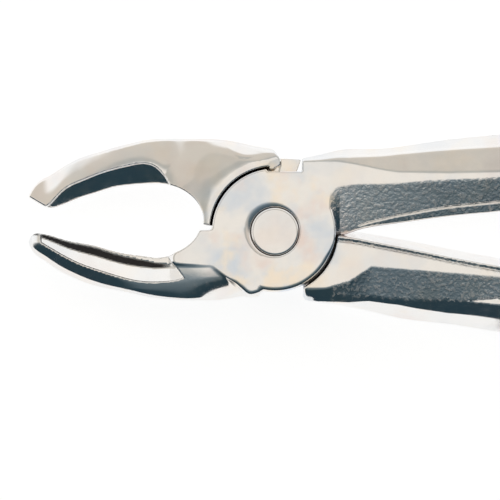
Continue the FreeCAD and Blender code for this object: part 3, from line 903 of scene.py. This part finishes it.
def blend(tree, factor, first, second):
    """Mixes two colours, each a value or a socket, by a factor socket."""
    mix = tree.nodes.new("ShaderNodeMix")
    mix.data_type = "RGBA"
    tree.links.new(factor, mix.inputs[0])
    for socket, source in ((mix.inputs[6], first), (mix.inputs[7], second)):
        if isinstance(source, tuple):
            socket.default_value = (*source, 1.0)
        else:
            tree.links.new(source, socket)
    return mix.outputs[2]


def spread(tree, value, low, high, to_low, to_high):
    """Maps a value smoothly from one range to another."""
    node = add(tree, "ShaderNodeMapRange", interpolation_type="SMOOTHSTEP")
    tree.links.new(value, node.inputs["Value"])
    for name, number in (("From Min", low), ("From Max", high), ("To Min", to_low), ("To Max", to_high)):
        node.inputs[name].default_value = number
    return node.outputs["Result"]


def noise(tree, place, size, detail, offset):
    """Noise with a pattern size in millimetres."""
    shift = add(tree, "ShaderNodeMapping")
    shift.inputs["Scale"].default_value = (1 / (size * MM),) * 3
    shift.inputs["Location"].default_value = (offset,) * 3
    tree.links.new(place, shift.inputs["Vector"])
    node = add(tree, "ShaderNodeTexNoise", Scale=1.0, Detail=detail)
    tree.links.new(shift.outputs["Vector"], node.inputs["Vector"])
    return node.outputs["Fac"]


def math_node(tree, operation, first, second):
    """A sum, product or difference; each side is a number or a socket."""
    node = add(tree, "ShaderNodeMath", operation=operation)
    for socket, source in zip(node.inputs, (first, second)):
        if isinstance(source, float):
            socket.default_value = source
        else:
            tree.links.new(source, socket)
    return node


def product(tree, first, second):
    return math_node(tree, "MULTIPLY", first, second).outputs[0]


def attribute(tree, name):
    return add(tree, "ShaderNodeAttribute", attribute_name=name).outputs["Fac"]


def tinted(tree, place, strength):
    """The steel's colour with its painted coloured reflections."""
    amount = attribute(tree, "reflection_tinting")
    colour = STEEL
    for size, offset, low, tint in REFLECTION_TINTS:
        patch = noise(tree, place, size, TINT_DETAIL, offset)
        patch = spread(tree, patch, low, low + TINT_SPREAD, 0.0, strength)
        colour = blend(tree, product(tree, patch, amount), colour, tint)
    return colour


def steel(name, tint, roughness):
    """Polished steel: painted coloured reflections, smears, a pitted forged skin in places and painted
    shade in the slots and recesses.
    """
    material, tree, surface = shader(name)
    link = tree.links.new
    place = add(tree, "ShaderNodeTexCoord").outputs["Object"]
    pits = attribute(tree, "pitting")
    # how much painted shade lies here: near-black, less metallic and rougher
    shade_amount = attribute(tree, "grime")
    speck = noise(tree, place, *SPECK)
    patches = spread(tree, noise(tree, place, *PATCHES), *PATCHES_AT)
    dull = product(tree, product(tree, spread(tree, speck, *DULL_AT), patches), pits)
    colour = blend(tree, dull, tinted(tree, place, tint), DULL_STEEL)
    link(blend(tree, shade_amount, colour, PAINTED_SHADE_COLOUR), surface.inputs["Base Color"])

    unshaded_metal = spread(tree, shade_amount, 0.0, 1.0, 1.0, PAINTED_SHADE_METAL)
    metal = math_node(tree, "SUBTRACT", unshaded_metal, product(tree, dull, DULL_METAL))
    link(metal.outputs[0], surface.inputs["Metallic"])
    specular = spread(tree, shade_amount, 0.0, 1.0, UNSHADED_SPECULAR, PAINTED_SHADE_SPECULAR)
    link(specular, surface.inputs["Specular IOR Level"])

    smears = noise(tree, place, *SMEARS)
    base = spread(tree, smears, *SMEAR_RANGE, roughness * SMEAR_LEAST, roughness * SMEAR_MOST)
    rough = math_node(tree, "ADD", base, product(tree, pits, PIT_ROUGHNESS))
    rough = math_node(tree, "ADD", rough.outputs[0], product(tree, shade_amount, PAINTED_SHADE_ROUGHNESS))
    rough.use_clamp = True
    link(rough.outputs[0], surface.inputs["Roughness"])

    waves = add(tree, "ShaderNodeBump", Strength=1.0, Distance=POLISH_WAVE)
    link(noise(tree, place, *WAVES), waves.inputs["Height"])
    bumps = add(tree, "ShaderNodeBump", Distance=PIT_DEPTH)
    link(speck, bumps.inputs["Height"])
    link(pits, bumps.inputs["Strength"])
    link(waves.outputs["Normal"], bumps.inputs["Normal"])
    link(bumps.outputs["Normal"], surface.inputs["Normal"])
    return material


# ---------------------------------------------------------------- pieces

def pieces():
    """The two halves and the screw."""
    half = steel("polished_steel", HALF_TINT, HALF_ROUGHNESS)
    screw = steel("screw_steel", SCREW_TINT, SCREW_ROUGHNESS)
    carve("near_half_forged", near_half, NEAR_BOX, "near_body", "near_half", half)
    carve("far_half_forged", far_half, FAR_BOX, "far_body", "far_half", half)
    carve("joint_screw_turned", joint_screw, SCREW_BOX, "far_body", "joint_screw", screw)


# ---------------------------------------------------------------- floor, light and camera

def stage():
    """A white floor."""
    bpy.ops.mesh.primitive_plane_add(size=FLOOR_SIZE, location=(0, 0, FLOOR_Z))
    floor = bpy.context.object
    floor.name = "floor"
    material, tree, surface = shader("pale_floor")
    surface.inputs["Base Color"].default_value = FLOOR_GREY
    surface.inputs["Roughness"].default_value = FLOOR_ROUGHNESS
    surface.inputs["Emission Color"].default_value = (1.0, 1.0, 1.0, 1)
    surface.inputs["Emission Strength"].default_value = FLOOR_GLOW
    floor.data.materials.append(material)


def sky(tree, upward, stops):
    """A sky that changes with the height of the direction looked in."""
    node = add(tree, "ShaderNodeValToRGB")
    tree.links.new(upward, node.inputs["Fac"])
    places = [(math.cos(math.radians(angle)), colour) for angle, colour in reversed(stops)]
    elements = node.color_ramp.elements
    elements[0].position, elements[0].color = places[0][0], (*places[0][1], 1.0)
    elements[1].position, elements[1].color = places[-1][0], (*places[-1][1], 1.0)
    for position, colour in places[1:-1]:
        elements.new(position).color = (*colour, 1.0)
    return node.outputs["Color"]


def light():
    """A soft sky: bright overhead, dark on the side of the lower handle."""
    world = bpy.data.worlds.new("studio")
    bpy.context.scene.world = world
    world.use_nodes = True
    tree = world.node_tree
    split = add(tree, "ShaderNodeSeparateXYZ")
    place = add(tree, "ShaderNodeTexCoord").outputs["Generated"]
    tree.links.new(place, split.inputs["Vector"])
    lit = sky(tree, split.outputs["Z"], LIT_SKY)
    dark = sky(tree, split.outputs["Z"], DARK_SKY)
    right = math_node(tree, "MAXIMUM", split.outputs["X"], 0.0)
    shade = product(tree, right.outputs[0], SHADE_TO_RIGHT)
    heading = math_node(tree, "SUBTRACT", split.outputs["Y"], shade)
    side = spread(tree, heading.outputs[0], *SHADE_EDGE, 0.0, 1.0)
    tree.links.new(blend(tree, side, dark, lit), tree.nodes["Background"].inputs["Color"])


def camera():
    """Straight down on the joint's near face, along the hinge axis."""
    data = bpy.data.cameras.new("camera")
    data.sensor_width = SENSOR_WIDTH
    data.lens = SENSOR_WIDTH * (CAMERA_HEIGHT - JOINT_T * MM) / VIEW_WIDTH
    data.clip_end = CLIP_END
    view = bpy.data.objects.new("camera", data)
    view.location = (VIEW_MID[0] * MM, VIEW_MID[1] * MM, CAMERA_HEIGHT)
    bpy.context.scene.collection.objects.link(view)
    bpy.context.scene.camera = view
    bpy.context.scene.view_settings.view_transform = "Standard"


pieces()
stage()
light()
camera()
